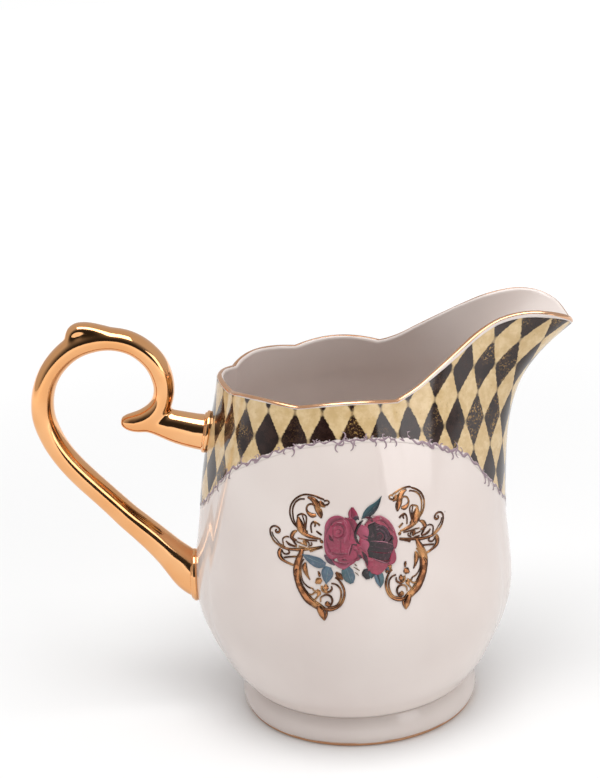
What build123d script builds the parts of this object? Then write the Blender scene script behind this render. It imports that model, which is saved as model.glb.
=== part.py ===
from build123d import *
import os
from math import cos, hypot, pi, radians, sin, sqrt

# Porcelain cream jug, millimetres. +Z is up and +X points to the spout, so the handle is at -X.
# The origin is the centre of the foot's resting face, and the XZ plane is the plane of symmetry.

# ---- driving dimensions ----
foot_radius = 29.3          # outer radius of the foot where it meets the table
foot_swell = 0.8            # how far the foot bulges beyond that
foot_height = 7.5           # table to the seam under the bowl
foot_wall = 3.8             # width of the foot ring
foot_inner_round = 1.2      # rounding of its inner lower edge
foot_outer_round = 0.8      # rounding of its outer lower edge
seam_radius = 28.7          # radius of the bowl at the seam

belly_radius = 40.0         # crest radius of the bowl at its widest
belly_height = 34.0         # height of the widest place
neck_radius = 30.4          # crest radius just under the mouth
mouth_height = 87.9         # top of the lip's scallops at the back and sides
shoulder_power = 1.3        # how gently the bowl leaves its widest place

lobe_count = 8              # soft flutes round the body, with crests between sharp valleys
lobe_depth = 0.8            # crest to valley
scallop_depth = 1.3         # how far the lip dips at each valley

spout_start = 40.0          # height where the spout begins to leave the round body
spout_reach = 55.6          # axis to the tip of the spout
spout_height = 101.6        # highest place of the spout's lip
tip_height = 95.7           # height of the pouring edge
spout_half_angle = 25.5     # half angle of the spout at its top, degrees
spout_spread = 37.0         # what the spout gains in half angle towards its start, degrees

body_wall = 2.5             # wall of the bowl
lip_wall = 1.6              # wall at the lip
floor_wall = 3.2            # floor of the bowl
floor_drop = 3.2            # how far the bowl's underside hangs inside the foot
floor_spread = 0.62         # flat part of the inner floor, as a share of the bowl's inner radius

gilt_width = 1.0            # width of the gilded line on the lip and on the foot
gilt_depth = 0.3            # how deep the foot's gilded line is let in
foot_gilt_lift = 0.25       # table to the foot's gilded line
transfer_thickness = 0.15   # thickness of the printed transfers over the glaze
band_side_drop = 8.3        # mouth to the top of the arch that the diamond band leaves on each flank
band_arch_rise = 19.0       # height of that arch
band_arch_half = 37.5       # half width of that arch
spray_width = 42.0          # width of the rose and scroll transfer
spray_height = 32.0         # height of the rose and scroll transfer
spray_drop = 26.1           # top of the arch to its centre

upper_joint_drop = 14.9     # mouth to the handle's upper joint
lower_joint = 36.0          # height of the handle's lower joint
upper_half_height = 4.6     # half height of the handle's stem at the neck
lower_half_height = 7.0     # half height of the handle's strap at the bowl
strap_half = 2.95           # half thickness of the strap, seen from the side
strap_half_depth = 3.7      # half depth of the strap, across the jug
loop_radius = 15.2          # centre line of the finger loop
loop_gap = 9.7              # neck's wall to the loop's centre line
loop_rise = 8.6             # upper joint to the centre of the loop
collar_reach = 1.8          # how far a joint's collar stands off the wall
collar_lip = 0.5            # how far a collar stands out round the handle
upper_flare = 0.6           # how much deeper the stem is at its joint than the strap
lower_flare = 1.2           # how much deeper the strap is at its joint

slip_film = 0.05            # film between the body and what is stuck to it

# ---- how finely the sections are drawn ----
SECTION_POINTS = 64
BOWL_LEVELS = (0, 0.06, 0.15, 0.28, 0.46, 0.72)
UPPER_LEVELS = 12
TOP_MARGIN = 3.0


def lerp(a, b, t):
    return a + (b - a) * t


def clamp(value, low=0.0, high=1.0):
    return max(low, min(high, value))


# ---- shape of the body ----
def crest_radius(z):
    """Radius of the round body over the crests of its lobes."""
    if z <= belly_height:
        u = clamp((z - foot_height) / (belly_height - foot_height))
        return lerp(seam_radius, belly_radius, 1 - (1 - u) ** 2)
    v = (z - belly_height) / (mouth_height - belly_height)
    if v <= 1:
        return lerp(belly_radius, neck_radius, 0.9 * v**shoulder_power + 0.1 * v**4)
    return neck_radius - 0.05 * (z - mouth_height)


def lobe_fade(z):
    """The lobes grow out of a round foot."""
    u = clamp((z - foot_height) / (belly_height - foot_height))
    return lobe_depth * u * u * (3 - 2 * u)


def spout_length(z):
    """How far the spout stands out of the round body at one height."""
    s = (z - spout_start) / (tip_height - spout_start)
    if s <= 0:
        return 0.0
    full = spout_reach - crest_radius(tip_height)
    if s > 1:
        return full * (1 + 2.4 * (s - 1))
    return full * (0.68 * s**2 + 0.32 * s**6)


def spout_share(angle, z):
    """1 along the spout's keel, 0 round the rest of the body."""
    t = clamp((spout_height - z) / (spout_height - spout_start))
    half = radians(spout_half_angle + spout_spread * t**0.8)
    u = abs(angle) / half
    return (1 - 0.08 * min(u, 1) ** 2) / (1 + u ** (8 - 4 * t))


def section_point(angle, z):
    """A point of the body's outer surface, at an angle from -pi to pi round the axis."""
    share = spout_share(angle, z)
    length = spout_length(z)
    plain = 1 - share * clamp(length / 6)
    dip = lobe_fade(z) * plain * (1 - abs(cos(lobe_count / 2 * angle)))
    r = crest_radius(z) - dip
    return r * cos(angle) + length * share, r * sin(angle)


def section_points(z, grow):
    """One closed section, with its points closer together round the spout; grow moves it outwards."""
    turns = [2 * pi * i / SECTION_POINTS - pi for i in range(SECTION_POINTS)]
    points = [section_point(turn - 0.5 * sin(turn), z) for turn in turns]
    moved = []
    for i, (x, y) in enumerate(points):
        x0, y0 = points[i - 1]
        x1, y1 = points[(i + 1) % SECTION_POINTS]
        length = hypot(x1 - x0, y1 - y0)
        moved.append((x + grow * (y1 - y0) / length, y - grow * (x1 - x0) / length))
    return moved


def section_face(z, grow):
    """One flat section. Every section shares its parameters, which keeps the loft's surface light."""
    points = [(x, y, z) for x, y in section_points(z, grow)]
    steps = [i / SECTION_POINTS for i in range(SECTION_POINTS + 1)]
    return Face(Wire([Edge.make_spline(points, periodic=True, parameters=steps)]))


def body_levels(low, high):
    bowl = [lerp(low, belly_height, k) for k in BOWL_LEVELS]
    upper = [lerp(belly_height, high, k / UPPER_LEVELS) for k in range(UPPER_LEVELS + 1)]
    return bowl + upper


top_height = spout_height + TOP_MARGIN
arch_crown = mouth_height - band_side_drop


def body_outline(grow):
    """The body's outside as a filled solid, running on above the lip."""
    return loft([section_face(z, grow) for z in body_levels(foot_height, top_height)])


def cavity_inset(z, floor_level):
    """How far inside the outer surface the cavity lies at one height."""
    if z >= belly_height:
        t = clamp((z - belly_height) / (mouth_height - belly_height))
        return lerp(body_wall, lip_wall, t)
    outer = crest_radius(z)
    u = (z - floor_level) / (belly_height - floor_level)
    rounding = lerp(floor_spread, 1, sqrt(1 - (1 - u) ** 2.6))
    return outer - rounding * (outer - body_wall)


def cavity():
    """The space inside, with a rounded floor."""
    floor_level = foot_height - floor_drop + floor_wall
    levels = body_levels(floor_level, top_height + 1)
    return loft([section_face(z, -cavity_inset(z, floor_level)) for z in levels])


# ---- the lip's line, seen from the side ----
def lip_line(drop):
    """Scallops round the mouth, then the rise, crown and pouring edge of the spout."""
    lobe = 2 * pi / lobe_count
    valley_radius = neck_radius - lobe_depth
    high = mouth_height - drop
    low = high - scallop_depth

    def place(turn, height):
        return Vector(-valley_radius * cos(turn * lobe), 0, height)

    back = Vector(-neck_radius, 0, high)
    edges = [Line((-2 * belly_radius, 0, high), back), Line(back, place(0.5, low))]
    edges += [ThreePointArc(place(k - 0.5, low), place(k, high), place(k + 0.5, low)) for k in (1, 2)]
    start = edges[-1] @ 1
    rise = spout_height - mouth_height
    run = spout_reach - start.X
    crown = [(0.09, 0.06), (0.27, 0.41), (0.50, 0.85), (0.71, 1.0), (0.87, 0.905), (0.965, 0.75)]
    points = [start] + [(start.X + run * a, 0, high + rise * b) for a, b in crown]
    points.append((spout_reach + 0.4, 0, tip_height - 0.5 - drop))
    return edges + [Spline(*points)]


def under_lip(drop):
    """Everything below the lip's line."""
    edges = lip_line(drop)
    start, end = edges[0] @ 0, edges[-1] @ 1
    far = 2 * spout_reach
    corners = [end, (far, 0, end.Z - 1), (far, 0, -10), (start.X, 0, -10), start]
    edges += [Line(corners[i], corners[i + 1]) for i in range(len(corners) - 1)]
    return extrude(Face(Wire(edges)), amount=2 * belly_radius, dir=(0, 1, 0), both=True)


# ---- pieces ----
outline = body_outline(0)
clear_outline = body_outline(slip_film)
below_lip = under_lip(0)
below_gilt = under_lip(gilt_width)


def upright_cylinder(radius, bottom, height):
    return Pos(0, 0, bottom) * Cylinder(radius, height, align=(Align.CENTER, Align.CENTER, Align.MIN))


def body_blank():
    """The hollow body, still with its plain lip line."""
    boss = upright_cylinder(foot_radius - foot_wall - slip_film, foot_height - floor_drop, floor_drop + 0.5)
    boss = fillet(boss.faces().sort_by(Axis.Z)[0].edges(), floor_drop * 0.6)
    return (outline + boss) - cavity()


def corner_arc(x, z, radius, side):
    """A quarter round that runs down or up to the resting face, about a centre at x, z."""
    slant = radius * cos(radians(45))
    flank, low, middle = (x + side * radius, 0, z), (x, 0, z - radius), (x + side * slant, 0, z - slant)
    return ThreePointArc(flank, middle, low) if side < 0 else ThreePointArc(low, middle, flank)


def foot_ring():
    inner = foot_radius - foot_wall
    middle = (foot_radius + foot_swell, 0, foot_height * 0.45)
    inside = corner_arc(inner + foot_inner_round, foot_inner_round, foot_inner_round, -1)
    outside = corner_arc(foot_radius - foot_outer_round, foot_outer_round, foot_outer_round, 1)
    profile = [
        Line((inner, 0, foot_height), inside @ 0),
        inside,
        Line(inside @ 1, outside @ 0),
        outside,
        ThreePointArc(outside @ 1, middle, (seam_radius, 0, foot_height)),
        Line((seam_radius, 0, foot_height), (inner, 0, foot_height)),
    ]
    return revolve(Face(Wire(profile)), Axis.Z)


def foot_gilding(ring):
    """A thin ring of gold let into the foot's lower edge."""
    slice_of_ring = ring & upright_cylinder(2 * foot_radius, foot_gilt_lift, gilt_width)
    return slice_of_ring - upright_cylinder(foot_radius - gilt_depth, 0, foot_height)


def transfer_shell():
    return body_outline(slip_film + transfer_thickness) - clear_outline


def band_region():
    """Above an arch on each flank, seen from the side, and clear of the handle's collar."""
    low = arch_crown - band_arch_rise
    far, roof = 2 * belly_radius, top_height + 1
    corners = [(band_arch_half, low), (far, low), (far, roof), (-far, roof), (-far, low), (-band_arch_half, low)]
    corners = [Vector(x, 0, z) for x, z in corners]
    edges = [ThreePointArc(corners[-1], (0, 0, arch_crown), corners[0])]
    edges += [Line(corners[i], corners[i + 1]) for i in range(len(corners) - 1)]
    return extrude(Face(Wire(edges)), amount=far, dir=(0, 1, 0), both=True)


def spray_region(side):
    """The patch of one flank that carries the rose and scroll transfer."""
    plane = Plane(origin=(0, 0, arch_crown - spray_drop), x_dir=(1, 0, 0), z_dir=(0, side, 0))
    patch = plane * RectangleRounded(spray_width, spray_height, spray_height * 0.3)
    return extrude(patch, amount=2 * belly_radius)


# ---- handle ----
def station(x, z, half, half_depth, direction):
    plane = Plane(origin=(x, 0, z), x_dir=(0, 1, 0), z_dir=(direction[0], 0, direction[1]))
    return plane * Ellipse(half_depth, half)


def tapered_rod(path, first_direction=None):
    """A rod through stations of (x, z, half thickness, half depth)."""
    faces = []
    for i, (x, z, half, half_depth) in enumerate(path):
        before, after = path[max(i - 1, 0)], path[min(i + 1, len(path) - 1)]
        direction = (after[0] - before[0], after[1] - before[1])
        if i == 0 and first_direction:
            direction = first_direction
        faces.append(station(x, z, half, half_depth, direction))
    return loft(faces)


def wall_x(z):
    """The back of the body at one height, on the plane of symmetry."""
    return -crest_radius(z)


upper_joint = mouth_height - upper_joint_drop
upper_face = wall_x(upper_joint) - collar_reach
lower_face = wall_x(lower_joint) - collar_reach
loop_x = wall_x(upper_joint) - loop_gap - loop_radius
loop_z = upper_joint + loop_rise


def loop_place(angle, swell=1.0):
    a = radians(angle)
    return loop_x + loop_radius * swell * cos(a), loop_z + loop_radius * swell * sin(a)


def strap_path():
    depth = strap_half_depth
    bend = (lower_face - 6.6, lower_joint + 8.3)
    shoulder = loop_place(188)
    path = [
        (lower_face, lower_joint, lower_half_height, depth + lower_flare),
        (lower_face - 3.2, lower_joint + 3.8, lower_half_height * 0.72, depth + lower_flare / 2),
        (*bend, strap_half + 0.5, depth),
    ]
    for t in (0.2, 0.4, 0.6, 0.8):
        bulge = 1.6 * sin(pi * t)
        path.append((lerp(bend[0], shoulder[0], t) - bulge, lerp(bend[1], shoulder[1], t), strap_half, depth))
    swells = [(188, 1.0), (165, 1.0), (140, 1.0), (115, 1.04), (92, 1.1), (67, 1.12), (42, 1.1), (18, 1.04)]
    path += [(*loop_place(a, s), strap_half, depth) for a, s in swells]
    path.append((*loop_place(-4, 0.99), strap_half - 0.2, depth))
    path.append((*loop_place(-22, 0.95), strap_half, depth - 0.4))
    return path


def stem_path():
    tip_x = loop_x + 4.3
    tip_z = upper_joint + 3.9
    depth = strap_half_depth
    run = upper_face - tip_x
    return [
        (upper_face, upper_joint, upper_half_height, depth + upper_flare),
        (upper_face - 0.2 * run, upper_joint + 0.9, upper_half_height * 0.98, depth + 0.4),
        (upper_face - 0.42 * run, upper_joint + 2.4, upper_half_height * 0.92, depth + 0.1),
        (upper_face - 0.66 * run, upper_joint + 3.8, upper_half_height * 0.74, depth - 0.3),
        (upper_face - 0.85 * run, tip_z, upper_half_height * 0.56, depth - 0.9),
        (upper_face - 0.97 * run, tip_z + 0.2, upper_half_height * 0.36, depth - 1.6),
        (tip_x, tip_z + 0.3, upper_half_height * 0.16, depth - 2.6),
    ]


def spur_path():
    """The thumb rest, a low leaf that rises from the top of the loop."""
    depth = strap_half_depth
    return [
        (*loop_place(108.5, 1.21), 1.0, depth * 0.4),
        (*loop_place(103, 1.25), 1.9, depth * 0.6),
        (*loop_place(92, 1.22), 1.7, depth * 0.8),
        (*loop_place(76, 1.2), 1.2, depth * 0.8),
        (*loop_place(62, 1.14), 0.8, depth * 0.7),
    ]


def handle():
    strap = tapered_rod(strap_path(), (-1, 0))
    stem = tapered_rod(stem_path(), (-1, 0))
    return (strap + stem + tapered_rod(spur_path())) - clear_outline


def collar_disc(face_x, z, half, half_depth, margin):
    """An oval disc from a handle joint's face into the wall."""
    plane = Plane(origin=(face_x, 0, z), x_dir=(0, 1, 0), z_dir=(1, 0, 0))
    oval = plane * Ellipse(half_depth + margin, half + margin)
    return extrude(oval, amount=body_wall + 2 * collar_reach)


def upper_disc(margin=collar_lip):
    return collar_disc(upper_face, upper_joint, upper_half_height, strap_half_depth + upper_flare, margin)


def lower_disc(margin=collar_lip):
    return collar_disc(lower_face, lower_joint, lower_half_height, strap_half_depth + lower_flare, margin)


# ---- assembly ----
blank = body_blank()
ring = foot_ring()
gilt_ring = foot_gilding(ring)
shell = transfer_shell()
gilt_handle = handle()

pieces = {
    "jug_body": blank & below_gilt,
    "rim_gilding": (blank & below_lip) - below_gilt,
    "foot_ring": ring - gilt_ring,
    "foot_gilding": gilt_ring,
    "handle": gilt_handle,
    "upper_handle_collar": upper_disc() - clear_outline,
    "lower_handle_collar": lower_disc() - clear_outline,
    "diamond_band_transfer": ((shell & band_region()) & below_gilt) - upper_disc(2 * collar_lip) - gilt_handle,
    "near_rose_transfer": shell & spray_region(-1),
    "far_rose_transfer": shell & spray_region(1),
}

os.makedirs("parts", exist_ok=True)
for name, piece in pieces.items():
    export_step(piece, f"parts/{name}.step")
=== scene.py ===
"""A porcelain cream jug with a gilt handle: its glazes, gilding and printed transfers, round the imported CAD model."""

import math
import random
from math import cos, pi, radians, sin

import bmesh
import bpy
from mathutils import Matrix, Vector


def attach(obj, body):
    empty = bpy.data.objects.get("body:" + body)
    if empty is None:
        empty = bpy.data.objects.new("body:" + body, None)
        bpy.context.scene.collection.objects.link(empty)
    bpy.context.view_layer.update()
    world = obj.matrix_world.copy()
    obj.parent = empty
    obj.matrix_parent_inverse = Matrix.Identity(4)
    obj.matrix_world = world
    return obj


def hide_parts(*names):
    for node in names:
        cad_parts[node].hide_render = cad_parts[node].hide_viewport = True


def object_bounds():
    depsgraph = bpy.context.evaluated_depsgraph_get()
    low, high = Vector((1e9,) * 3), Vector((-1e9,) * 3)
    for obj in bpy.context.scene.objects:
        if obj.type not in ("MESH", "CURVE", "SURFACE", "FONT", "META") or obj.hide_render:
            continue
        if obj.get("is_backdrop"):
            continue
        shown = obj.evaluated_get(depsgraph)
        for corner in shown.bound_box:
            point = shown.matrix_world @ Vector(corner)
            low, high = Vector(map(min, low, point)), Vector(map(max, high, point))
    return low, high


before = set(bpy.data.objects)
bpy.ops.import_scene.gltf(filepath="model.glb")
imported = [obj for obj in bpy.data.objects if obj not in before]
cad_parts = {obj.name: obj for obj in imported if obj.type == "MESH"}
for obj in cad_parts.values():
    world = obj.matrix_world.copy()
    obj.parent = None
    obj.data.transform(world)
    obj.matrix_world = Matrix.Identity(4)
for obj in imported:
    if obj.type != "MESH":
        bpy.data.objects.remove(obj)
cad_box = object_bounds()

MM = 0.001
TURN_STEPS = 192             # vertical divisions round the bowl, so that each lobe has 24
CURVE_STEPS = 400            # fine steps that a smooth curve is measured in


# ---- small helpers ----
def clamp(value, low=0.0, high=1.0):
    return max(low, min(high, value))


def lerp(a, b, t):
    return a + (b - a) * t


def ease(t):
    t = clamp(t)
    return t * t * (3 - 2 * t)


def smooth_curve(points, t):
    """A point on the smooth curve through the given ones, t running from 0 to 1."""
    last = len(points) - 1
    place = clamp(t) * last
    i = min(int(place), last - 1)
    f = place - i
    around = [points[max(0, min(last, i + k))] for k in (-1, 0, 1, 2)]
    return [
        0.5 * (2 * b + (c - a) * f + (2 * a - 5 * b + 4 * c - d) * f * f + (3 * b - a - 3 * c + d) * f**3)
        for a, b, c, d in zip(*around)
    ]


def evenly(points, count):
    """count points at even distances along the smooth curve through the given ones."""
    fine = [smooth_curve(points, i / CURVE_STEPS) for i in range(CURVE_STEPS + 1)]
    run = [0.0]
    for a, b in zip(fine, fine[1:]):
        run.append(run[-1] + math.dist(a, b))
    found, j = [], 0
    for i in range(count):
        want = run[-1] * i / (count - 1)
        while j < CURVE_STEPS - 1 and run[j + 1] < want:
            j += 1
        share = clamp((want - run[j]) / max(1e-9, run[j + 1] - run[j]))
        found.append([lerp(a, b, share) for a, b in zip(fine[j], fine[j + 1])])
    return found


# ---- the bowl's surface, in millimetres ----
FOOT_TOP = 7.5
BELLY = 34.0
MOUTH = 87.9
PROFILE = [                  # height, radius over the lobes' crests
    (7.5, 28.7), (8.6, 29.75), (10, 30.8), (13, 33.05), (17, 35.24), (22, 37.6), (28, 39.5), (34, 40.0),
    (41, 39.45), (50, 38.0), (60, 36.5), (67, 35.2), (75, 33.4), (80, 32.0), (84, 31.1), (87.9, 30.4),
]
LOBES = 8
LOBE_DEPTH = 0.8
LOBE_RISE = 22               # the lobes grow to that depth over this height above the foot
SCALLOP = 1.2
FLARE_START = 35.0           # height where the spout begins to draw out
LIP_HALF = 0.8               # half the wall at the lip, which is rounded over
WALL_TOP = MOUTH - LIP_HALF
SPOUT_EDGE = radians(67.5)   # the lobe valleys where the spout's lip begins
SPOUT_BLEND = radians(30)    # the lobes fade over this much inside those valleys
SPOUT_LIP = evenly([         # the lip from that valley to the tip, on one side
    (11.5, 27.3, 86.7), (16, 24.9, 88.7), (20, 22.7, 91.1), (24, 20.3, 93.5), (28, 17.6, 95.9), (32, 15.0, 98.3),
    (36, 13.3, 100.3), (40, 12.7, 101.4), (44, 12.8, 101.7), (48, 12.9, 101.0), (51.3, 11.6, 99.8),
    (53.8, 8.9, 98.4), (55.2, 5.0, 96.8), (55.6, 0.0, 96.0),
], 61)


def crest_radius(z):
    """Radius over the lobes' crests, smooth through the profile's heights."""
    z = clamp(z, PROFILE[0][0], PROFILE[-1][0])
    i = next(k for k in range(len(PROFILE) - 1) if z <= PROFILE[k + 1][0])

    def slope(k):
        low, high = PROFILE[max(k - 1, 0)], PROFILE[min(k + 1, len(PROFILE) - 1)]
        return (high[1] - low[1]) / (high[0] - low[0])

    (z0, r0), (z1, r1) = PROFILE[i], PROFILE[i + 1]
    h = z1 - z0
    t = (z - z0) / h
    rise = (2 * t**3 - 3 * t**2 + 1) * r0 + (3 * t**2 - 2 * t**3) * r1
    return rise + (t**3 - 2 * t**2 + t) * slope(i) * h + (t**3 - t**2) * slope(i + 1) * h


def valley(turn):
    """0 on a lobe's crest and 1 in the valley between two."""
    return 1 - abs(cos(LOBES / 2 * turn))


def round_point(turn, z, fade=1.0):
    r = crest_radius(z) - LOBE_DEPTH * ease((z - FOOT_TOP) / LOBE_RISE) * fade * valley(turn)
    return r * cos(turn), r * sin(turn)


def lip_point(turn):
    if abs(turn) >= SPOUT_EDGE:
        return *round_point(turn, WALL_TOP), WALL_TOP - SCALLOP * valley(turn)
    x, y, z = smooth_curve(SPOUT_LIP, 1 - abs(turn) / SPOUT_EDGE)
    return x, (y if turn >= 0 else -y), z - LIP_HALF


def wall_point(turn, z):
    """The bowl's outside. z is the height it would have if the mouth were level."""
    if z <= FLARE_START:
        return Vector((*round_point(turn, z), z))
    v = (z - FLARE_START) / (WALL_TOP - FLARE_START)
    lip = lip_point(turn)
    if abs(turn) >= SPOUT_EDGE:
        return Vector((*round_point(turn, z), z + (lip[2] - WALL_TOP) * v**6))
    level = round_point(turn, WALL_TOP)
    x, y = round_point(turn, z, 1 - v * clamp((SPOUT_EDGE - abs(turn)) / SPOUT_BLEND))
    drawn = 0.45 * v**2 + 0.55 * v**9
    return Vector((x + (lip[0] - level[0]) * drawn, y + (lip[1] - level[1]) * drawn, z + (lip[2] - WALL_TOP) * drawn))


PROBE_TURN = 0.004           # the wall's slope is measured this far to each side, in radians
PROBE_RISE = 0.1             # and this far up and down


def wall_frame(turn, z):
    """A point of the bowl's outside, the way outwards there and the way up along the wall."""
    around = wall_point(turn + PROBE_TURN, z) - wall_point(turn - PROBE_TURN, z)
    up = wall_point(turn, min(z + PROBE_RISE, WALL_TOP)) - wall_point(turn, max(z - PROBE_RISE, FOOT_TOP))
    up.normalize()
    return wall_point(turn, z), around.cross(up).normalized(), up


def below_lip(turn, distance):
    """The z of wall_point that lies a true distance under the top of the wall."""
    step = 0.2
    stretch = (wall_point(turn, WALL_TOP) - wall_point(turn, WALL_TOP - step)).length / step
    return WALL_TOP - distance / stretch


def on_wall(turn, z, lift):
    point, out, _ = wall_frame(turn, z)
    return point + out * lift


# ---- pieces ----
def as_object(name, bm):
    mesh = bpy.data.meshes.new(name)
    bm.to_mesh(mesh)
    bm.free()
    made = bpy.data.objects.new(name, mesh)
    bpy.context.scene.collection.objects.link(made)
    return made


def finish_piece(name, bm, material, stands_for=(), wall=0.0, loose=False):
    """Makes the mesh an object in metres that rides on the jug; wall, in millimetres, closes an open sheet inwards.
    A loose mesh is patches that lie apart and already face outwards."""
    if not loose:
        bmesh.ops.remove_doubles(bm, verts=bm.verts, dist=1e-4)
        bmesh.ops.recalc_face_normals(bm, faces=bm.faces)
    bmesh.ops.scale(bm, vec=(MM, MM, MM), verts=bm.verts)
    piece = as_object(name, bm)
    piece.data.polygons.foreach_set("use_smooth", [True] * len(piece.data.polygons))
    piece.data.materials.append(material)
    if wall:
        shell = piece.modifiers.new("Solidify", "SOLIDIFY")
        shell.thickness = wall * MM
        shell.offset = -1
    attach(piece, "root")
    if stands_for:
        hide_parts(*stands_for)


def turned(count, place, steps=TURN_STEPS):
    """Spins a line of count points into a tube, then puts each vertex where place(row, turn) says."""
    bm = bmesh.new()
    line = [bm.verts.new((1, 0, row)) for row in range(count)]
    edges = [bm.edges.new(pair) for pair in zip(line, line[1:])]
    bmesh.ops.spin(bm, geom=line + edges, cent=(0, 0, 0), axis=(0, 0, 1), angle=2 * pi, steps=steps, use_merge=True)
    for vert in bm.verts:
        turn = round(math.atan2(vert.co.y, vert.co.x) / (2 * pi) * steps) * 2 * pi / steps
        vert.co = place(round(vert.co.z), turn)
    return bm


def arc(centre, radius, start, end, steps):
    """Points of a rounded corner in a turned profile, angles in degrees from the outward direction."""
    angles = [radians(lerp(start, end, i / steps)) for i in range(steps + 1)]
    return [(centre[0] + radius * cos(a), centre[1] + radius * sin(a)) for a in angles]


def on_circle(outline, row, turn):
    """The outline's point of radius and height, turned round the jug's axis."""
    radius, height = outline[row]
    return Vector((radius * cos(turn), radius * sin(turn), height))


def ring_piece(profile):
    """A solid of revolution from a closed outline of radius and height."""
    closed = profile + profile[:1]
    return turned(len(closed), lambda row, turn: on_circle(closed, row, turn))


# ---- finishes ----
class Finish:
    """A material under construction, with short calls for the nodes that the finishes share."""

    def __init__(self, name, **settings):
        self.material = bpy.data.materials.new(name)
        self.material.use_nodes = True
        self.tree = self.material.node_tree
        self.shader = self.tree.nodes["Principled BSDF"]
        for socket, value in settings.items():
            self.shader.inputs[socket.replace("_", " ")].default_value = value
        self.object_place = self.add("ShaderNodeTexCoord").outputs["Object"]

    def add(self, kind, inputs=(), **settings):
        node = self.tree.nodes.new(kind)
        for key, value in settings.items():
            setattr(node, key, value)
        for key, value in dict(inputs).items():
            if isinstance(value, bpy.types.NodeSocket):
                self.tree.links.new(value, node.inputs[key])
            else:
                node.inputs[key].default_value = value
        return node

    def sum(self, operation, *values):
        return self.add("ShaderNodeMath", enumerate(values), operation=operation).outputs[0]

    def spread(self, value, low, high, to_low=0.0, to_high=1.0):
        """value, eased from to_low at low to to_high at high."""
        inputs = {"Value": value, "From Min": low, "From Max": high, "To Min": to_low, "To Max": to_high}
        return self.add("ShaderNodeMapRange", inputs, interpolation_type="SMOOTHSTEP").outputs["Result"]

    def mix(self, factor, a, b, blend="MIX"):
        node = self.add("ShaderNodeMix", {0: factor, 6: a, 7: b}, data_type="RGBA", blend_type=blend)
        return node.outputs[2]

    def grain(self, scale, detail=2.0, roughness=0.5, distortion=0.0):
        """Noise of about 0.5; scale is in cells to the metre."""
        inputs = {
            "Vector": self.object_place, "Scale": scale, "Detail": detail,
            "Roughness": roughness, "Distortion": distortion,
        }
        return self.add("ShaderNodeTexNoise", inputs).outputs["Fac"]

    def specks(self, scale, radius):
        """1 inside scattered dots of that radius, in cells; one cell in five has a dot."""
        cells = self.add("ShaderNodeTexVoronoi", {"Vector": self.object_place, "Scale": scale})
        chosen = self.add("ShaderNodeSeparateColor", {"Color": cells.outputs["Color"]}).outputs[0]
        dot = self.spread(cells.outputs["Distance"], radius, radius * 0.6)
        return self.sum("MULTIPLY", dot, self.sum("GREATER_THAN", chosen, 0.8))

    def relief(self, height, distance, strength):
        """Bump of that many millimetres where height is 1."""
        inputs = {"Height": height, "Distance": distance * MM, "Strength": strength}
        bump = self.add("ShaderNodeBump", inputs).outputs["Normal"]
        self.tree.links.new(bump, self.shader.inputs["Normal"])

    def colour(self, socket):
        self.tree.links.new(socket, self.shader.inputs["Base Color"])

    def set(self, name, socket):
        self.tree.links.new(socket, self.shader.inputs[name])


def rgb(red, green, blue):
    """A colour by its screen values, 0 to 255."""
    return (*(((v / 255 + 0.055) / 1.055) ** 2.4 if v > 10 else v / 3294 for v in (red, green, blue)), 1.0)


GLAZE = dict(IOR=1.5, Roughness=0.09)


def porcelain_colour(finish):
    """White clay under a clear glaze: faint clouds, and a few iron specks."""
    clouds = finish.grain(28.0, detail=3)
    body = finish.mix(finish.spread(clouds, 0.3, 0.7), rgb(222, 209, 203), rgb(228, 217, 211))
    specks = finish.sum("MULTIPLY", finish.specks(140.0, 0.04), 0.45)
    return finish.mix(specks, body, rgb(150, 128, 120))


def porcelain():
    finish = Finish("glazed_porcelain", **GLAZE)
    finish.colour(porcelain_colour(finish))
    ripple = finish.grain(60.0, detail=1)
    pores = finish.specks(520.0, 0.12)
    finish.relief(finish.sum("SUBTRACT", ripple, finish.sum("MULTIPLY", pores, 0.2)), 0.05, 0.6)
    finish.set("Roughness", finish.spread(finish.grain(90.0), 0.3, 0.7, 0.06, 0.11))
    return finish.material


def gold(name, tone_low, tone_high, roughness, wave):
    """Bright fired gold: the clay's waviness shows as bent reflections, and handling leaves it faintly hazed."""
    finish = Finish(name, Metallic=1.0, IOR=1.5)
    tone = finish.spread(finish.grain(45.0, detail=3), 0.3, 0.7)
    finish.colour(finish.mix(tone, tone_low, tone_high))
    haze = finish.spread(finish.grain(700.0, detail=3), 0.35, 0.75, roughness, roughness + 0.05)
    finish.set("Roughness", haze)
    ripple = finish.grain(120.0, detail=2)
    finish.relief(ripple, wave, 0.5)
    return finish.material


PORCELAIN = porcelain()
HANDLE_GOLD = gold("bright_gold", rgb(230, 164, 106), rgb(240, 184, 132), 0.06, 0.05)
LINE_GOLD = gold("gilding", rgb(204, 152, 114), rgb(224, 180, 146), 0.22, 0.02)


# ---- bowl ----
BODY_WALL = 2.5
FLOOR = 7.5                  # height of the inner floor
FLOOR_SHARE = 0.62           # flat part of that floor
FLOOR_DISH = 0.4             # how much it sinks towards its middle
BOSS_RADIUS = 25.45          # the bowl's underside inside the foot
BOSS_BOTTOM = 4.35


def crowded(t):
    """Rows lie closer together towards the lip, where the spout curves most."""
    return 1 - (1 - t) ** 1.6


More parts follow.
